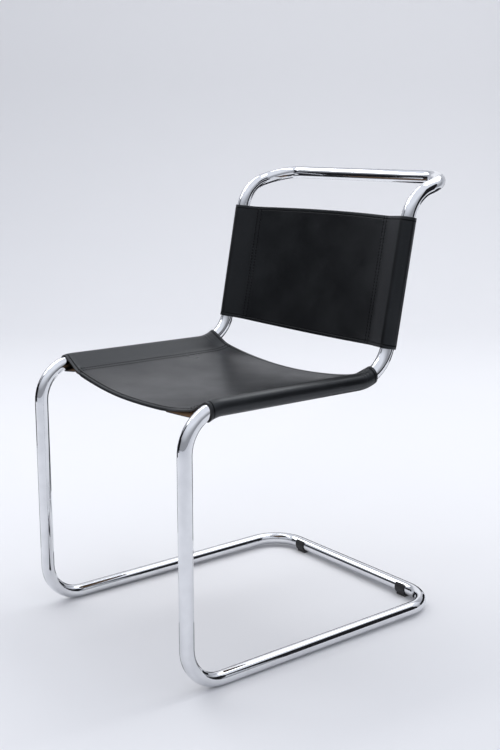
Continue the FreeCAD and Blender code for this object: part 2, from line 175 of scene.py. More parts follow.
# %% Chrome
chrome, tree, shader = new_finish("chrome", Metallic=1.0)
haze = noise(tree, 38.0, 4.0)
specks = mask_between(tree, noise(tree, 420.0), 0.72, 0.78)
wiped = mask_between(tree, haze, 0.35, 0.75, 0.035, 0.10)
feed(tree, calculate(tree, "MULTIPLY_ADD", specks, 0.12, wiped), shader.inputs["Roughness"])
tint = mix_colours(tree, mask_between(tree, haze, 0.3, 0.8), (0.80, 0.81, 0.83, 1.0), (0.70, 0.71, 0.73, 1.0))
feed(tree, tint, shader.inputs["Base Color"])
add_bump(tree, shader, noise(tree, 9.0, 1.0), 0.06, 0.0015)
coat(("frame_tube", "rear_floor_bar"), chrome)
print("chrome on", len(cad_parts["frame_tube"].data.polygons), "faces of the bent tube")

# %% [markdown]
# The spigots and the screws sit inside the tube and under the glides. They are plain turned steel,
# which shows fine rings across its length: a stretched noise in the roughness and the bump gives them.

# %% Turned steel
turned_steel, tree, shader = new_finish("turned_steel", Metallic=1.0)
rings = add_node(tree, "ShaderNodeMapping", {"Scale": (2600.0, 40.0, 40.0)})
tree.links.new(object_place(tree), rings.inputs["Vector"])
ring_noise = noise(tree, 1.0, 1.0, rings.outputs["Vector"])
feed(tree, mask_between(tree, ring_noise, 0.0, 1.0, 0.22, 0.42), shader.inputs["Roughness"])
shade = mix_colours(tree, ring_noise, (0.46, 0.46, 0.47, 1.0), (0.58, 0.58, 0.59, 1.0))
feed(tree, shade, shader.inputs["Base Color"])
add_bump(tree, shader, ring_noise, 0.15, 0.0002)
coat(("joint_plug_left", "joint_plug_right", "plug_screws"), turned_steel)
print("turned steel on the spigots and screws")

# %% [markdown]
# The two glides are moulded in black plastic. The mould leaves a fine, even texture, and the soles are rubbed
# paler by the floor. The wear only needs the height above the floor, which the object coordinates give.

# %% Moulded plastic
plastic, tree, shader = new_finish("moulded_plastic")
feed(tree, mask_between(tree, noise(tree, 160.0, 3.0), 0.0, 1.0, 0.42, 0.62), shader.inputs["Roughness"])
near_floor = mask_between(tree, parts_of(tree, object_place(tree))["Z"], 0.004, 0.0)
worn = mix_colours(tree, near_floor, (0.012, 0.012, 0.013, 1.0), (0.055, 0.052, 0.048, 1.0))
feed(tree, worn, shader.inputs["Base Color"])
add_bump(tree, shader, noise(tree, 2400.0), 0.25, 0.0002)
coat(("floor_glide_left", "floor_glide_right"), plastic)
print("moulded plastic on both glides")

# %% [markdown]
# The hides hang on the tube, so their shape starts from the tube's own centreline.
# One side frame lies in a plane, and its corner points with their bend radii are all that is needed.
# A small class rounds one corner and can turn any point about that bend, for leather that creeps into it.

# %% The tube's centreline
TUBE_RADIUS = 0.0125
HALF_WIDTH = 0.2375
FRONT_BEND = 0.070
SEAT_BEND = 0.075
TOP_BEND = 0.070
leg_foot = np.array((-0.296, 0.012))
leg_top = np.array((-0.296, 0.480))
back_foot = np.array((0.134, 0.480))
back_head = np.array((0.1932, 0.7995))
top_bar = np.array((0.296, 0.8275))


def unit(vector):
    return vector / np.linalg.norm(vector)


def turned(vector, angle):
    """Turns a vector of the side plane, from Y towards Z."""
    c, s = math.cos(angle), math.sin(angle)
    return np.array((c * vector[0] - s * vector[1], s * vector[0] + c * vector[1]))


class Bend:
    """A rounded corner between two straight runs of the side plane."""

    def __init__(self, before, corner, after, radius):
        to_before, to_after = unit(before - corner), unit(after - corner)
        half_angle = math.acos(float(to_before @ to_after)) / 2
        self.start = corner + to_before * radius / math.tan(half_angle)
        self.end = corner + to_after * radius / math.tan(half_angle)
        self.centre = corner + unit(to_before + to_after) * radius / math.sin(half_angle)
        self.radius = radius


front_bend = Bend(leg_foot, leg_top, back_foot, FRONT_BEND)
seat_bend = Bend(leg_top, back_foot, back_head, SEAT_BEND)
top_bend = Bend(back_foot, back_head, top_bar, TOP_BEND)
print("seat rail", round(float(np.linalg.norm(seat_bend.start - front_bend.end)), 4), "m straight")

# %% [markdown]
# A run of leather covers one straight stretch of tube and a bit of the bend at each end.
# Asking the run for a distance along it gives back the tube's centre there and the way the leather faces.
# In a bend the layer on the outside has further to go than the layer on the inside, yet both come from one
# straight-cut hide. So the angle it reaches depends on the layer, and the cut ends come out slanted, as in the
# photograph. On the tight inside of a bend the hide bunches instead, which the share called "slip" allows for.


# %% A run of tube under the leather
class Run:
    """A straight stretch of the side frame with the covered bits of bend at both ends."""

    def __init__(self, foot_bend, foot_degrees, head_bend, head_degrees):
        self.foot_bend, self.head_bend = foot_bend, head_bend
        self.foot, self.head = foot_bend.end, head_bend.start
        self.foot_sign = math.copysign(1.0, foot_degrees)
        self.head_sign = math.copysign(1.0, head_degrees)
        self.foot_length = abs(math.radians(foot_degrees)) * foot_bend.radius
        self.head_length = abs(math.radians(head_degrees)) * head_bend.radius
        self.straight = float(np.linalg.norm(self.head - self.foot))
        self.along = unit(self.head - self.foot)
        self.face = turned(self.along, math.pi / 2)
        self.length = self.foot_length + self.straight + self.head_length

    def at(self, distance, layer=0.0):
        """Centre of the tube and the facing direction at a distance, for a layer above the tube's centre."""
        if distance < self.foot_length:
            radius = self.foot_bend.radius + self.foot_sign * layer
            angle = self.foot_sign * (self.foot_length - distance) / radius
            centre = self.foot_bend.centre
            return centre + turned(self.foot - centre, angle), turned(self.face, angle)
        distance -= self.foot_length
        if distance <= self.straight:
            return self.foot + self.along * distance, self.face
        radius = self.head_bend.radius - self.head_sign * layer * SLIP
        angle = self.head_sign * (distance - self.straight) / radius
        centre = self.head_bend.centre
        return centre + turned(self.head - centre, angle), turned(self.face, angle)


SLIP = 0.75
seat_run = Run(front_bend, foot_degrees=19.3, head_bend=seat_bend, head_degrees=28.5)
back_run = Run(seat_bend, foot_degrees=-7.5, head_bend=top_bend, head_degrees=-3.5)
print("hides run", round(seat_run.length, 4), "m and", round(back_run.length, 4), "m along the tube")

# %% [markdown]
# Each hide is one strip of leather, 2.8 mm thick. Its ends go round the tubes and come back underneath,
# where two rows of stitches hold them. A cloth simulation would make it far too limp: saddle leather is nearly
# as stiff as card. So the strip is drawn as a section, in the directions "inward" and "out of the face",
# and that section is carried along the tube. Both layers leave the tube as tangents and meet at the "apex".

# %% Section of a sewn pocket
HIDE = 0.0028
PLAY = 0.0002
HEEL_GAP = 0.004
LAP_COLUMNS, WRAP_COLUMNS, BAND_COLUMNS = 12, 30, 14
middle_radius = TUBE_RADIUS + PLAY + HIDE / 2


def spread(first, last, count):
    """Points from first up to, but not including, last."""
    return [first + (last - first) * i / count for i in range(count)]


def polar(radius, angle):
    return np.array((radius * math.cos(angle), radius * math.sin(angle)))


def pocket_section(apex, joint_inset):
    """Middle line of the hide from the lower layer's heel, round the tube, to the joint with the panel."""
    apex_angle = math.atan2(apex[1], apex[0])
    open_angle = math.acos((TUBE_RADIUS + PLAY) / np.linalg.norm(apex))
    upper = polar(middle_radius, apex_angle + open_angle)
    lower = polar(middle_radius, apex_angle - open_angle)
    upper_way = turned(unit(upper), -math.pi / 2)
    lower_way = turned(unit(lower), math.pi / 2)
    joint = upper + upper_way * ((joint_inset - upper[0]) / upper_way[0])
    heel = lower + lower_way * ((apex[0] - HEEL_GAP - lower[0]) / lower_way[0])
    turn_start = apex_angle - open_angle
    turn = 2 * open_angle - 2 * math.pi
    wrap = [polar(middle_radius, turn_start + turn * i / WRAP_COLUMNS) for i in range(WRAP_COLUMNS)]
    return spread(heel, lower, LAP_COLUMNS) + wrap + spread(upper, joint, BAND_COLUMNS), joint


seat_pocket, seat_joint = pocket_section(apex=np.array((0.0415, -0.0071)), joint_inset=0.0435)
back_pocket, back_joint = pocket_section(apex=np.array((0.0445, -0.0014)), joint_inset=0.0465)
print("panel of the seat begins", (seat_joint * 1000).round(1), "mm from the tube's centre")

# %% [markdown]
# Between the pockets the hide sags. Across the chair it hangs in a shallow curve; from front to rear the middle
# line is a parabola through three measured dips. A class that holds the few numbers of one hide is easier to read
# than a function with a dozen arguments, because the seat and the back then differ only where they are made.
# The cut ends of a used hide aren't quite square or straight. A skew lets one side creep further round the bend
# than the other, and a bow lets the middle stand out: each end of a hide is given by these two.


# %% The sagging panel
def through_three(points, part):
    """A parabola through the first, middle and last point."""
    weights = ((1 - part) * (1 - 2 * part), 4 * part * (1 - part), part * (2 * part - 1))
    return sum(point * weight for point, weight in zip(points, weights))


def ease(value, low, high):
    """0 below low, 1 above high, and a smooth rise between them."""
    part = min(1.0, max(0.0, (value - low) / (high - low)))
    return part * part * (3 - 2 * part)


class Hide:
    """One strip of leather: where it runs, how its pockets look and how its panel sags."""

    def __init__(self, run, pocket, joint, seam, flap, dips, pulls, low_end, high_end, rolled):
        self.run, self.pocket, self.joint, self.seam, self.flap = run, pocket, joint, seam, flap
        self.half_panel = HALF_WIDTH - joint[0]
        self.low_end, self.high_end, self.rolled = low_end, high_end, rolled
        marks = [self.joint_point(run.length * part) for part in (0.0, 0.5, 1.0)]
        self.middles = [mark + run.along * pull - run.face * dip for mark, pull, dip in zip(marks, pulls, dips)]

    def joint_point(self, distance):
        centre, face = self.run.at(distance, self.joint[1])
        return centre + face * self.joint[1]

    def panel(self, distance, x):
        """Point of the panel, in the side plane: it hangs in a curve between the two joints."""
        edge = self.joint_point(distance)
        middle = through_three(self.middles, distance / self.run.length)
        return middle + (edge - middle) * abs(x / self.half_panel) ** HANG

    def distance(self, part, x):
        """Distance along the run of a point at x across, for a part of the way between the cut ends."""
        bulge = max(0.0, 1 - (x / self.half_panel) ** 2)
        low_skew, low_bow = self.low_end
        high_skew, high_bow = self.high_end
        low = -low_skew * x / HALF_WIDTH - low_bow * bulge
        high = self.run.length + high_skew * x / HALF_WIDTH + high_bow * bulge
        return low + (high - low) * part


HANG = 2.1
seat = Hide(
    seat_run,
    seat_pocket,
    seat_joint,
    seam=0.0480,
    flap=0.1200,
    dips=(0.0160, 0.0195, 0.0195),
    pulls=(-0.0010, 0.0, 0.0055),
    low_end=(0.0045, 0.0),
    high_end=(-0.0010, 0.0),
    rolled=True,
)
back = Hide(
    back_run,
    back_pocket,
    back_joint,
    seam=0.0512,
    flap=0.0645,
    dips=(0.0183, 0.0215, 0.0183),
    pulls=(0.0, 0.0, 0.0),
    low_end=(0.0, 0.0028),
    high_end=(0.0015, 0.0047),
    rolled=False,
)
print("seat hangs down to z =", round(float(seat.panel(seat_run.length / 2, 0.0)[1]), 4), "m")

# %% [markdown]
# Now the surface itself, as a grid of points: rows run across the chair, one behind the other along the tube.
# A few small helpers come first. No hide is quite flat, so a slow ripple of a few tenths of a millimetre lies over
# the panel, and where the pocket runs into the panel the points are averaged with their neighbours.

# %% Helpers for the grid
GRID_STEP = 0.0045
LIP_WIDTH = 0.0050
LIP_ROWS = [0.0, 0.0025, LIP_WIDTH, LIP_WIDTH + 0.0018]
RIPPLE = 0.0005
RIPPLE_WAVES = ((31, 17, 0.0), (-11, 23, 1.3), (37, 47, 0.0))
LOOSE_DEPTH, LOOSE_SLOPE = -0.0142, -0.0560


def row_parts(length, rolled):
    """Places of the rows from 0 to 1, closer together where an edge is rolled over."""
    first = LIP_ROWS if rolled else [0.0]
    count = int(round((length - first[-1]) / GRID_STEP))
    distances = first + list(np.linspace(first[-1], length, count + 1)[1:])
    return [distance / length for distance in distances]


def ripple(distance, x):
    """A slow unevenness, given by waves that don't fit each other."""
    waves = sum(math.sin(across * x + along * distance + start) for across, along, start in RIPPLE_WAVES)
    return RIPPLE * waves / len(RIPPLE_WAVES)


def loose_depth(inset):
    """Height over the tube's centre of the lap that has come loose."""
    return LOOSE_DEPTH + LOOSE_SLOPE * inset


def smooth_joint(points, joint_index, reach=3, passes=6):
    """Eases the kink where the pocket runs into the panel, as stiff leather does."""
    for _ in range(passes):
        for i in range(joint_index - reach, joint_index + reach + 1):
            points[i] = points[i] * 0.5 + (points[i - 1] + points[i + 1]) * 0.25


print("rows stand", GRID_STEP, "m apart, and closer at a rolled edge")

# %% [markdown]
# One half row goes from the flap's cut edge round one tube to the middle of the panel, and the same function
# makes the other half. The front edge of the seat is rolled down, so that it doesn't press into the sitter's
# legs, and the roll fades out towards the left pocket. At the left front corner the lap under the seat has come loose and runs
# straight from the bottom of the tube, so its brown side shows.

# %% Grid of the middle surface
LIP_DROP = 0.0056
LIP_LEAN = 0.3
LIP_FADE = (0.015, 0.095)
PANEL_FADE = (0.0, 0.020)
FLAP_FADE = (0.010, 0.030)
FLAP_COLUMNS = 14
LAP_SETBACK, SETBACK_LENGTH = 0.0065, 0.025
LOOSE_LENGTH = 0.022
LAYER_GAP = HIDE + PLAY / 2


def half_row(hide, part, side):
    """One row of the grid, from the flap's cut edge round one tube to the middle of the panel."""
    from_end = part * hide.run.length
    loose = max(0.0, 1 - from_end / LOOSE_LENGTH) ** 2 if hide.rolled and side > 0 else 0.0
    row = []
    for i, (u, v) in enumerate(hide.pocket):
        x = side * (HALF_WIDTH - u)
        if i < LAP_COLUMNS:
            v += (loose_depth(u) - v) * loose
        centre, face = hide.run.at(hide.distance(part, x), v)
        row.append(np.array((x, *(centre + face * v))))
    joint_index = len(row)
    columns = int(round(hide.half_panel / GRID_STEP))
    roll = hide.run.along * LIP_LEAN - hide.run.face
    turned_down = max(0.0, 1 - from_end / LIP_WIDTH) * hide.rolled
    plain = []
    for j in range(columns + 1):
        x = side * hide.half_panel * (1 - j / columns)
        distance = hide.distance(part, x)
        inside = ease(hide.half_panel - abs(x), *PANEL_FADE)
        rolled = ease(hide.half_panel - x, *LIP_FADE) * inside
        lip = roll * LIP_DROP * turned_down * rolled
        point = hide.panel(distance, x) + hide.run.face * ripple(distance, x) * inside
        plain.append(np.array((x, *point)))
        row.append(np.array((x, *(point + lip))))
    smooth_joint(row, joint_index)

    # The flap follows the sewn layers one thickness below them, and begins behind the rolled lip
    top = np.array(row[joint_index - BAND_COLUMNS : joint_index] + plain)
    setback = LAP_SETBACK * max(0.0, 1 - from_end / SETBACK_LENGTH) ** 2 * hide.rolled
    heel_x = HALF_WIDTH - hide.pocket[0][0] - HEEL_GAP
    flap = []
    for x in np.linspace(HALF_WIDTH - hide.flap, heel_x, FLAP_COLUMNS):
        y, z = (np.interp(-x, -abs(top[:, 0]), top[:, axis]) for axis in (1, 2))
        free = ease(heel_x - x, *FLAP_FADE)
        below = np.array((y, z)) - hide.run.face * LAYER_GAP + hide.run.along * setback * free
        depth = loose_depth(HALF_WIDTH - x)
        centre, face = hide.run.at(hide.distance(part, x), depth)
        below += (centre + face * depth - below) * loose
        flap.append(np.array((side * x, *below)))
    return flap + row


def hide_grid(hide):
    """Middle surface of a hide, from the left flap across the panel to the right flap."""
    grid = []
    for part in row_parts(hide.run.length, hide.rolled):
        grid.append(half_row(hide, part, 1) + half_row(hide, part, -1)[-2::-1])
    return np.array(grid)


seat_grid = hide_grid(seat)
back_grid = hide_grid(back)
print("seat grid", seat_grid.shape, "back grid", back_grid.shape)

# %% [markdown]
# The grid becomes a mesh, and the Solidify modifier gives it the thickness of the hide. Solidify can hand
# different finishes to the grain side, the flesh side and the cut edge, which is just how leather looks.
# One UV map holds real metres on the flat strip, so that grain and stitch marks keep their size on the curves.
# A second one counts from the seam and from the nearer cut end, and an attribute marks where the hide bunches
# in the bend behind the seat. The materials will need both.

# %% From grid to leather
BUNCHED_FROM_BEND = (0.0, 0.012)
BUNCHED_BEGINS, BUNCHED_ENDS = (0.022, 0.034), (0.066, 0.080)
EDGE_ROUND = 0.0006
EDGE_ANGLE = 60


def surface_normals(grid):
    """Unit normals on the grain side, one for each point of the grid."""
    normals = np.cross(np.gradient(grid, axis=0), np.gradient(grid, axis=1))
    return normals / np.linalg.norm(normals, axis=2, keepdims=True)


def flat_lengths(grid, axis):
    """Distance along the strip, averaged over the other direction."""
    steps = np.linalg.norm(np.diff(grid, axis=axis), axis=2).mean(axis=1 - axis)
    return np.concatenate(([0.0], np.cumsum(steps)))


def make_hide(name, hide, grid, finishes):
    """The mesh of one hide with its UV maps, thickness and finishes, and its flat size."""
    rows, columns = grid.shape[:2]
    faces = []
    for i in range(rows - 1):
        for j in range(columns - 1):
            a = i * columns + j
            faces.append((a, a + columns, a + columns + 1, a + 1))
    mesh = bpy.data.meshes.new(name)
    mesh.from_pydata([tuple(point) for point in grid.reshape(-1, 3)], [], faces)
    across, along = flat_lengths(grid, 1), flat_lengths(grid, 0)
    across -= across[-1] / 2
    first = FLAP_COLUMNS + LAP_COLUMNS + WRAP_COLUMNS
    panel = slice(first, columns - first)
    seam = float(np.interp(HALF_WIDTH - hide.seam, grid[0, panel, 0][::-1], -across[panel][::-1]))
    strip = mesh.uv_layers.new(name="flat_strip")
    from_seam = mesh.uv_layers.new(name="from_seam")
    for loop in mesh.loops:
        i, j = divmod(loop.vertex_index, columns)
        strip.data[loop.index].uv = (across[j], along[i])
        from_seam.data[loop.index].uv = (seam - abs(across[j]), min(along[i], along[-1] - along[i]))
    bunched = mesh.attributes.new("bunched", "FLOAT", "POINT")
    for index, vertex in enumerate(bunched.data):
        i, j = divmod(index, columns)
        in_bend = ease(along[i] - (along[-1] - hide.run.head_length), *BUNCHED_FROM_BEND)
        beyond = abs(across[j]) - seam
        on_pocket = ease(beyond, *BUNCHED_BEGINS) * (1 - ease(beyond, *BUNCHED_ENDS))
        vertex.value = in_bend * on_pocket * hide.rolled
    for finish in finishes:
        mesh.materials.append(finish)
    mesh.polygons.foreach_set("use_smooth", [True] * len(mesh.polygons))
    piece = bpy.data.objects.new(name, mesh)
    bpy.context.scene.collection.objects.link(piece)
    solid = piece.modifiers.new("thickness", "SOLIDIFY")
    solid.thickness = HIDE
    solid.offset = 0.0
    solid.use_even_offset = True
    solid.material_offset = 1
    solid.material_offset_rim = 2
    edge = piece.modifiers.new("edge", "BEVEL")
    edge.width = EDGE_ROUND
    edge.segments = 2
    edge.limit_method = "ANGLE"
    edge.angle_limit = math.radians(EDGE_ANGLE)
    flat_size = (float(across[-1] - across[0]), float(along[-1]))
    print(name, "is cut", round(flat_size[0], 4), "by", round(flat_size[1], 4), "m")
    return piece, flat_size


# %% [markdown]
# Black saddle leather is nearly black, but its waxed grain reflects the room at low angles: that is what makes
# the seat look grey in the photograph. A Voronoi pattern a millimetre wide makes the pores, a slower noise
# makes patches of wear, and both also break up the highlights, the one by its bump and the other by roughness.

# %% Grain side
leather, tree, shader = new_finish("black_grain_leather", Specular_Tint=(0.90, 0.95, 1.0, 1.0))
flat = uv_place(tree, "flat_strip")
pores = add_node(tree, "ShaderNodeTexVoronoi", {"Scale": 900.0, "Randomness": 1.0}, feature="DISTANCE_TO_EDGE")
tree.links.new(flat, pores.inputs["Vector"])
patches = noise(tree, 14.0, 4.0, flat)
dust = noise(tree, 240.0, 3.0, flat)
wear = mask_between(tree, patches, 0.45, 0.75)
black = mix_colours(tree, wear, (0.0038, 0.0041, 0.0048, 1.0), (0.0070, 0.0074, 0.0083, 1.0))
dusty = mix_colours(tree, mask_between(tree, dust, 0.62, 0.8), black, (0.018, 0.018, 0.018, 1.0))
feed(tree, dusty, shader.inputs["Base Color"])
feed(tree, mask_between(tree, patches, 0.3, 0.7, 0.27, 0.38), shader.inputs["Roughness"])
add_bump(tree, shader, mask_between(tree, pores.outputs["Distance"], 0.0, 0.25), 0.22, 0.00012)
add_bump(tree, shader, dust, 0.10, 0.0004)
print("grain of the hides has", len(tree.nodes), "nodes so far")

# %% [markdown]
# Every stitch pulls a small dimple into the hide. The distance from a row of stitches comes from the map that
# counts from the seam. Along the strip a cosine rises once for each stitch, and the product of the two masks is
# one dimple per stitch. It lowers the bump here, and the next cell takes the shine off it.

# %% Dimples at the stitches
STITCH_ROWS = (0.0, 0.0088)
STITCH_PITCH = 0.0060
FIRST_STITCH = 0.0048
DIMPLE_EDGE, DIMPLE_FLOOR = 0.0022, 0.0006
PULSE_LIMIT = 0.35
from_seam = parts_of(tree, uv_place(tree, "from_seam"))
from_first = calculate(tree, "SUBTRACT", parts_of(tree, flat)["Y"], FIRST_STITCH)
pulse = calculate(tree, "COSINE", calculate(tree, "MULTIPLY", from_first, 2 * math.pi / STITCH_PITCH))
at_stitch = mask_between(tree, pulse, -PULSE_LIMIT, PULSE_LIMIT)
dimples = []
for row in STITCH_ROWS:
    from_row = calculate(tree, "ABSOLUTE", calculate(tree, "SUBTRACT", from_seam["X"], row))
    on_row = mask_between(tree, from_row, DIMPLE_EDGE, DIMPLE_FLOOR)
    dimples.append(calculate(tree, "MULTIPLY", on_row, at_stitch))
dimpled = calculate(tree, "ADD", *dimples)
add_bump(tree, shader, calculate(tree, "SUBTRACT", 1.0, dimpled), 0.5, 0.0006)
print("dimples in", len(dimples), "rows, one every", STITCH_PITCH, "m")

# %% [markdown]
# A line is tooled along both cut ends. It is the same trick: the bump is lowest where the distance from the line
# is smallest, and the bottom of the line has no shine. Behind the seat the hide bunches in the bend, so a
# distorted wave makes a few folds there, only where the attribute says so.

# %% Tooled line and folds
SHEEN = 0.44
EDGE_CREASE = 0.0062
CREASE_HALF_WIDTH = 0.0012
from_crease = calculate(tree, "ABSOLUTE", calculate(tree, "SUBTRACT", from_seam["Y"], EDGE_CREASE))
add_bump(tree, shader, mask_between(tree, from_crease, 0.0, CREASE_HALF_WIDTH), 0.8, 0.0007)
beside_crease = mask_between(tree, from_crease, 0.0007, 0.0017, 0.04, SHEEN)
beside_dimple = mask_between(tree, dimpled, 0.0, 1.0, 1.0, 0.2)
feed(tree, calculate(tree, "MULTIPLY", beside_crease, beside_dimple), shader.inputs["Specular IOR Level"])

folds = add_node(tree, "ShaderNodeTexWave", {"Scale": 42.0, "Distortion": 1.6, "Detail": 1.0}, bands_direction="Y")
tree.links.new(flat, folds.inputs["Vector"])
bunched = add_node(tree, "ShaderNodeAttribute", attribute_name="bunched")
add_bump(tree, shader, calculate(tree, "MULTIPLY", folds.outputs["Fac"], bunched.outputs["Fac"]), 0.35, 0.0014)
print("grain leather has", len(tree.nodes), "nodes")

# %% [markdown]
# The flesh side is raw, brown and fibrous. Inside the pockets, where shade falls round the tube, the colour is
# mixed towards black as painted shade, with the map that counts from the seam. The cut edge is dyed black and
# burnished.

# %% Flesh side and cut edge
POCKET_SHADE_BEGINS, POCKET_SHADE_ENDS = (-0.004, -0.022), (-0.128, -0.105)
flesh, tree, shader = new_finish("brown_flesh_leather", Roughness=0.92, Specular_IOR_Level=0.2)
flat = uv_place(tree, "flat_strip")
brown = mix_colours(tree, noise(tree, 60.0, 4.0, flat), (0.125, 0.072, 0.039, 1.0), (0.170, 0.102, 0.058, 1.0))
depth = parts_of(tree, uv_place(tree, "from_seam"))["X"]
# Painted shade: between these distances beyond the seam, inside the pockets, the brown flesh side is mixed towards
# black.
shade_begun, shade_not_ended = mask_between(tree, depth, *POCKET_SHADE_BEGINS), mask_between(tree, depth, *POCKET_SHADE_ENDS)
flesh_with_painted_shade = mix_colours(tree, calculate(tree, "MULTIPLY", shade_begun, shade_not_ended), brown, (0.008, 0.007, 0.006, 1.0))
feed(tree, flesh_with_painted_shade, shader.inputs["Base Color"])
add_bump(tree, shader, noise(tree, 1500.0, 4.0, flat), 0.6, 0.0005)

cut_edge, tree, shader = new_finish("dyed_cut_edge", Roughness=0.6)
layers = noise(tree, 900.0, 3.0)
faded = mask_between(tree, layers, 0.4, 0.75)
dye = mix_colours(tree, faded, (0.010, 0.010, 0.011, 1.0), (0.030, 0.025, 0.022, 1.0))
feed(tree, dye, shader.inputs["Base Color"])
add_bump(tree, shader, layers, 0.4, 0.0003)
print("three finishes of one leather:", leather.name, flesh.name, cut_edge.name)

# %% [markdown]
# Now both hides are cut and hung. Each takes the place of the plain solid of its sling in the imported model.

# %% Cut and hang both hides
finishes = (leather, flesh, cut_edge)
seat_hide, seat_flat = make_hide("seat_hide", seat, seat_grid, finishes)
back_hide, back_flat = make_hide("back_hide", back, back_grid, finishes)
for piece, node, flat_size in (
    (seat_hide, "seat_sling", seat_flat),
    (back_hide, "back_sling", back_flat),
):
    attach(piece, "root")
    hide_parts(node)

# %% [markdown]
# The seams are sewn by hand with a thick waxed thread: two rows, nine millimetres apart, on the face and again
# on the underside. The thread is black, twisted and matt, so a fine diagonal wave gives it its colour and bump.

# %% Thread
thread, tree, shader = new_finish("waxed_thread", Roughness=0.95, Specular_IOR_Level=0.06)
twist = add_node(tree, "ShaderNodeTexWave", {"Scale": 900.0, "Distortion": 1.0}, bands_direction="DIAGONAL")
tree.links.new(object_place(tree), twist.inputs["Vector"])
thread_colour = mix_colours(tree, twist.outputs["Fac"], (0.003, 0.003, 0.004, 1.0), (0.012, 0.012, 0.014, 1.0))
feed(tree, thread_colour, shader.inputs["Base Color"])
add_bump(tree, shader, twist.outputs["Fac"], 0.4, 0.0002)
print("the seams are sewn with", thread.name)

# %% [markdown]
# Placing over seven hundred stitches one by one would be slow to read and to change, so Geometry Nodes does it.
# Each row is a plain line of points that knows which way is up. The tree turns it into a curve, cuts the curve
# into equal steps, and lays one small flattened bead on every step, along the row.

# %% Node tree that sews a row
BEAD_SEGMENTS, BEAD_RINGS = 8, 5


def new_input(tree, name, kind, value=None):
    """An input of the node group, which shows up as a setting of the modifier."""
    socket = tree.interface.new_socket(name, in_out="INPUT", socket_type=kind)
    if value is not None:
        socket.default_value = value


def sewing_tree():
    """Geometry Nodes tree that lays a stitch on every step of the lines it is given."""
    tree = bpy.data.node_groups.new("sewn_rows", "GeometryNodeTree")
    new_input(tree, "Rows", "NodeSocketGeometry")
    new_input(tree, "Pitch", "NodeSocketFloat", STITCH_PITCH)
    new_input(tree, "Bead", "NodeSocketVector", (1.0, 1.0, 1.0))
    new_input(tree, "Slant", "NodeSocketFloat", 0.0)
    new_input(tree, "Looseness", "NodeSocketFloat", 0.0)
    new_input(tree, "Seed", "NodeSocketInt", 0)
    new_input(tree, "Thread", "NodeSocketMaterial")
    tree.interface.new_socket("Stitches", in_out="OUTPUT", socket_type="NodeSocketGeometry")
    given = tree.nodes.new("NodeGroupInput").outputs
    result = tree.nodes.new("NodeGroupOutput")

    curve = add_node(tree, "GeometryNodeMeshToCurve")
    steps = add_node(tree, "GeometryNodeResampleCurve", mode="LENGTH")
    up = add_node(tree, "GeometryNodeInputNamedAttribute", {"Name": "up"}, data_type="FLOAT_VECTOR")
    way = add_node(tree, "GeometryNodeInputTangent")
    frame_axes = add_node(tree, "FunctionNodeAxesToRotation", primary_axis="Z", secondary_axis="X")
    loose = add_node(tree, "FunctionNodeRandomValue", data_type="FLOAT")
    lowest = calculate(tree, "MULTIPLY", given["Looseness"], -1.0)
    angle = calculate(tree, "ADD", given["Slant"], loose.outputs["Value"])
    slant = add_node(tree, "FunctionNodeAxisAngleToRotation", {"Axis": (0.0, 0.0, 1.0)})
    turn = add_node(tree, "FunctionNodeRotateRotation", rotation_space="LOCAL")
    ball_size = {"Segments": BEAD_SEGMENTS, "Rings": BEAD_RINGS, "Radius": 0.5}
    ball = add_node(tree, "GeometryNodeMeshUVSphere", ball_size)
    lying = add_node(tree, "GeometryNodeTransform", {"Rotation": (0.0, math.pi / 2, 0.0)})
    bead = add_node(tree, "GeometryNodeTransform")
    smooth = add_node(tree, "GeometryNodeSetShadeSmooth")
    place = add_node(tree, "GeometryNodeInstanceOnPoints")
    realize = add_node(tree, "GeometryNodeRealizeInstances")
    dyed = add_node(tree, "GeometryNodeSetMaterial")
    for source, socket in (
        (given["Rows"], curve.inputs["Mesh"]),
        (curve.outputs["Curve"], steps.inputs["Curve"]),
        (given["Pitch"], steps.inputs["Length"]),
        (up.outputs["Attribute"], frame_axes.inputs["Primary Axis"]),
        (way.outputs["Tangent"], frame_axes.inputs["Secondary Axis"]),
        (lowest, loose.inputs["Min"]),
        (given["Looseness"], loose.inputs["Max"]),
        (given["Seed"], loose.inputs["Seed"]),
        (angle, slant.inputs["Angle"]),
        (frame_axes.outputs["Rotation"], turn.inputs["Rotation"]),
        (slant.outputs["Rotation"], turn.inputs["Rotate By"]),
        (ball.outputs["Mesh"], lying.inputs["Geometry"]),
        (lying.outputs["Geometry"], bead.inputs["Geometry"]),
        (given["Bead"], bead.inputs["Scale"]),
        (bead.outputs["Geometry"], smooth.inputs["Geometry"]),
        (steps.outputs["Curve"], place.inputs["Points"]),
        (smooth.outputs["Geometry"], place.inputs["Instance"]),
        (turn.outputs["Rotation"], place.inputs["Rotation"]),
        (place.outputs["Instances"], realize.inputs["Geometry"]),
        (realize.outputs["Geometry"], dyed.inputs["Geometry"]),
        (given["Thread"], dyed.inputs["Material"]),
        (dyed.outputs["Geometry"], result.inputs["Stitches"]),
    ):
        tree.links.new(source, socket)
    return tree


sewing = sewing_tree()
print("sewing tree has", len(sewing.nodes), "nodes")

# %% [markdown]
# A row of stitches lies on the face of the hide, so its points and its "up" come from the same grid as the
# leather. Half a thickness above the middle surface is the grain side; one and a half below it is the lap.

# %% Rows of points on the seams
ROW_END = 0.0045
BEAD_SIZE = (0.0036, 0.0022, 0.0012)
SLANT_DEGREES = 7.0
LOOSE_DEGREES = 3.0


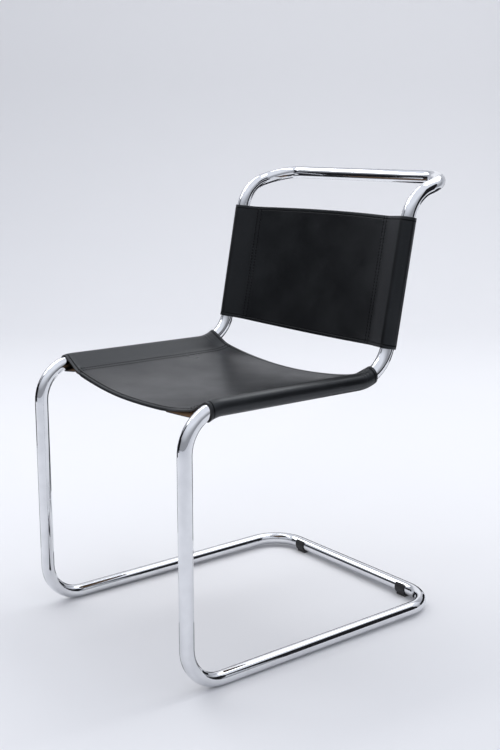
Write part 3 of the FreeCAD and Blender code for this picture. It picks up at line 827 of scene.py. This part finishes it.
def seam_row(hide, grid, inset, side, lift):
    """Points and normals on the sewn layers, a given distance inside the outer row."""
    first = FLAP_COLUMNS + LAP_COLUMNS + WRAP_COLUMNS
    panel = grid[:, first : grid.shape[1] - first]
    normals = surface_normals(grid)[:, first : grid.shape[1] - first]
    x = side * (HALF_WIDTH - hide.seam - inset)
    points, ups = [], []
    for line, line_normals in zip(panel, normals):
        spot = np.array([np.interp(-x, -line[:, 0], line[:, axis]) for axis in range(3)])
        normal = unit(np.array([np.interp(-x, -line[:, 0], line_normals[:, axis]) for axis in range(3)]))
        points.append(spot + normal * lift)
        ups.append(normal * math.copysign(1.0, lift))
    lengths = np.concatenate(([0.0], np.cumsum(np.linalg.norm(np.diff(points, axis=0), axis=1))))
    inner = [i for i, length in enumerate(lengths) if ROW_END <= length <= lengths[-1] - ROW_END]
    return [points[i] for i in inner], [ups[i] for i in inner]


def sew(name, hide, grid, seed):
    """All rows of stitches of one hide, as one piece."""
    points, ups, edges = [], [], []
    for side in (1, -1):
        for inset in STITCH_ROWS:
            for lift in (HIDE / 2, -(HIDE / 2 + LAYER_GAP)):
                row, row_ups = seam_row(hide, grid, inset, side, lift)
                edges += [(len(points) + i, len(points) + i + 1) for i in range(len(row) - 1)]
                points += row
                ups += row_ups
    mesh = bpy.data.meshes.new(name + "_lines")
    mesh.from_pydata([tuple(point) for point in points], edges, [])
    up = mesh.attributes.new("up", "FLOAT_VECTOR", "POINT")
    up.data.foreach_set("vector", np.array(ups).ravel())
    lines = bpy.data.objects.new(name + "_lines", mesh)
    bpy.context.scene.collection.objects.link(lines)
    modifier = lines.modifiers.new("sewing", "NODES")
    modifier.node_group = sewing
    values = {
        "Pitch": STITCH_PITCH,
        "Bead": BEAD_SIZE,
        "Slant": math.radians(SLANT_DEGREES),
        "Looseness": math.radians(LOOSE_DEGREES),
        "Seed": seed,
        "Thread": thread,
    }
    for socket in sewing.interface.items_tree:
        if socket.in_out == "INPUT" and socket.name in values:
            modifier[socket.identifier] = values[socket.name]
    evaluated = lines.evaluated_get(bpy.context.evaluated_depsgraph_get())
    stitches = bpy.data.objects.new(name, bpy.data.meshes.new_from_object(evaluated))
    stitches.data.name = name
    bpy.context.scene.collection.objects.link(stitches)
    bpy.data.objects.remove(lines)
    print(name, "has", len(stitches.data.polygons) // (BEAD_SEGMENTS * BEAD_RINGS), "stitches")
    return stitches


for name, hide, grid, seed in (
    ("seat_stitches", seat, seat_grid, 3),
    ("back_stitches", back, back_grid, 8),
):
    stitches = sew(name, hide, grid, seed)
    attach(stitches, "root")

# %% [markdown]
# The floor and the backdrop are one sheet that curves up behind the chair. Both stay plain and pale, so that
# every edge of the chair is easy to read against them.

# %% Floor and backdrop
BACKDROP_NEAR, BACKDROP_DISTANCE = -6.0, 4.4
BACKDROP_HEIGHT, BACKDROP_HALF_WIDTH = 5.0, 7.0
CURVE_RADIUS, CURVE_STEPS = 1.2, 12
paper, tree, shader = new_finish(
    "pale_paper", Base_Color=(0.80, 0.80, 0.81, 1.0), Roughness=0.9, Specular_IOR_Level=0.1
)
curve_start = BACKDROP_DISTANCE - CURVE_RADIUS
profile = [(BACKDROP_NEAR, 0.0), (curve_start, 0.0)]
for i in range(1, CURVE_STEPS + 1):
    angle = math.radians(90 * i / CURVE_STEPS)
    profile.append((curve_start + CURVE_RADIUS * math.sin(angle), CURVE_RADIUS * (1 - math.cos(angle))))
profile.append((BACKDROP_DISTANCE, BACKDROP_HEIGHT))
away = unit(np.array((target.x - eye.x, target.y - eye.y)))
side_way = np.array((-away[1], away[0]))
vertices = []
for distance, z in profile:
    for reach in (-BACKDROP_HALF_WIDTH, BACKDROP_HALF_WIDTH):
        x, y = away * distance + side_way * reach
        vertices.append((x, y, z))
faces = [(2 * i, 2 * i + 1, 2 * i + 3, 2 * i + 2) for i in range(len(profile) - 1)]
mesh = bpy.data.meshes.new("backdrop")
mesh.from_pydata(vertices, [], faces)
mesh.polygons.foreach_set("use_smooth", [True] * len(mesh.polygons))
mesh.materials.append(paper)
backdrop = bpy.data.objects.new("backdrop", mesh)
bpy.context.scene.collection.objects.link(backdrop)
print("backdrop curves up", BACKDROP_DISTANCE, "m behind the chair")

# %% [markdown]
# The light is soft and comes from above and from behind the chair, so the seat shines and the back, which faces
# the dark side of the room, stays black. The world is a room with a bright ceiling: its strength grows with the
# height of the direction. Long area lamps lie along the ceiling, because a long lamp gives a tube one long, clean
# highlight. Two faint screens stand behind the chair, where the seat mirrors them at a low angle: they feed its
# sheen only and light nothing. A last lamp washes the wall and is kept out of reflections. The camera sees none.


# %% Lamps and world
def area_lamp(name, place, look_at, width, height, power, diffuse=True, glossy=True):
    """A rectangular lamp, which can be left out of diffuse light or of reflections."""
    data = bpy.data.lights.new(name, "AREA")
    data.shape = "RECTANGLE"
    data.size, data.size_y, data.energy = width, height, power
    lamp = bpy.data.objects.new(name, data)
    lamp.location = place
    lamp.rotation_euler = (Vector(look_at) - Vector(place)).to_track_quat("-Z", "Y").to_euler()
    lamp.visible_camera = False
    lamp.visible_diffuse = diffuse
    lamp.visible_glossy = glossy
    bpy.context.scene.collection.objects.link(lamp)


area_lamp("strip_left_low", (-2.2, -0.9, 2.45), (-0.2, -0.9, 0.5), 2.2, 0.80, 16.0)
area_lamp("strip_left_high", (-1.2, -0.4, 3.0), (-0.2, -0.4, 0.5), 2.4, 0.45, 11.0)
area_lamp("strip_above", (0.10, 2.0, 3.0), (0.10, 2.0, 0.5), 1.20, 2.4, 29.0)
area_lamp("screen_behind", (*(away * 3.6), 2.0), (*(away * 0.5), 0.9), 3.0, 1.2, 3.2, diffuse=False)
area_lamp("screen_high", (-1.15, 2.3, 2.95), (0.0, 0.0, 0.5), 2.0, 1.2, 6.5, diffuse=False)
area_lamp("wall_wash", (*(away * 2.6), 3.6), (*(away * 4.4), 1.2), 4.5, 0.6, 21.0, glossy=False)
world = bpy.data.worlds.new("room")
world.use_nodes = True
tree = world.node_tree
background = tree.nodes["Background"]
background.inputs["Color"].default_value = (0.84, 0.87, 0.95, 1.0)
height = parts_of(tree, add_node(tree, "ShaderNodeTexCoord").outputs["Generated"])["Z"]
feed(tree, mask_between(tree, height, 0.20, 0.65, 0.40, 1.06), background.inputs["Strength"])
bpy.context.scene.world = world
print("the room has", len(bpy.data.lights), "lamps")

# %% [markdown]
# Chrome has no colour of its own: in an even white room it turns white and its shape is lost. Photographers put
# black flags just outside the picture, and their reflections draw dark lines along the tube. These flags, and the
# cards on the floor beside the legs, are only seen in reflections: they are hidden from the camera and cast no
# shadow.

# %% Black flags
CARD_HEIGHT = 0.001
CARD_DEGREES = (22.0, 44.0)
black_cloth, tree, shader = new_finish(
    "black_cloth", Base_Color=(0.012, 0.012, 0.014, 1.0), Roughness=0.9, Specular_IOR_Level=0.1
)


def sight_way(degrees_left):
    """A level direction, given by its angle from the line of sight."""
    angle = math.radians(degrees_left)
    return away * math.cos(angle) + side_way * math.sin(angle)


def black_sheet(name, corners):
    """A sheet of cloth that is only seen in reflections."""
    mesh = bpy.data.meshes.new(name)
    mesh.from_pydata(corners, [], [(0, 1, 2, 3)])
    mesh.materials.append(black_cloth)
    cloth = bpy.data.objects.new(name, mesh)
    bpy.context.scene.collection.objects.link(cloth)
    cloth.visible_camera = False
    cloth.visible_diffuse = False
    cloth.visible_shadow = False


def flag(name, degrees_left, distance, width, low, high):
    """An upright sheet that faces the chair."""
    way = sight_way(degrees_left)
    across = np.array((-way[1], way[0])) * width / 2
    corners = [(*(way * distance + across * side), z) for side, z in ((-1, low), (1, low), (1, high), (-1, high))]
    black_sheet(name, corners)


def floor_card(name, foot, side, near, far):
    """A card on the floor, on one side behind a leg, between two distances from it."""
    ways = [sight_way(side * degrees) for degrees in CARD_DEGREES]
    spots = [foot + way * distance for way, distance in zip(ways + ways[::-1], (near, near, far, far))]
    black_sheet(name, [(*spot, CARD_HEIGHT) for spot in spots])


near_foot, far_foot = np.array((HALF_WIDTH, leg_foot[0])), np.array((-HALF_WIDTH, leg_foot[0]))
floor_card("card_near_right", near_foot, -1, 0.05, 0.30)
floor_card("card_near_right_beyond", near_foot, -1, 0.75, 2.2)
floor_card("card_near_left", near_foot, 1, 0.05, 0.30)
floor_card("card_near_left_beyond", near_foot, 1, 0.80, 2.2)
floor_card("card_far_right", far_foot, -1, 0.05, 0.30)
floor_card("card_far_right_beyond", far_foot, -1, 0.75, 2.2)
floor_card("card_far_left", far_foot, 1, 0.05, 2.2)
flag("flag_left_tall", 88.5, 3.0, 0.7, 0.0, 2.6)
flag("flag_left_middle", 76.0, 3.0, 3.2, 0.0, 1.2)
flag("flag_left_low", 58.0, 1.5, 1.0, 0.0, 0.45)
flag("flag_right_tall", -100.0, 2.5, 1.1, 0.0, 2.2)
flag("flag_right_low", -58.0, 1.5, 1.0, 0.0, 0.45)
flag("flag_behind_low", 0.0, 3.2, 3.4, 0.0, 0.95)
print("flags stand outside the picture, seen only in reflections")
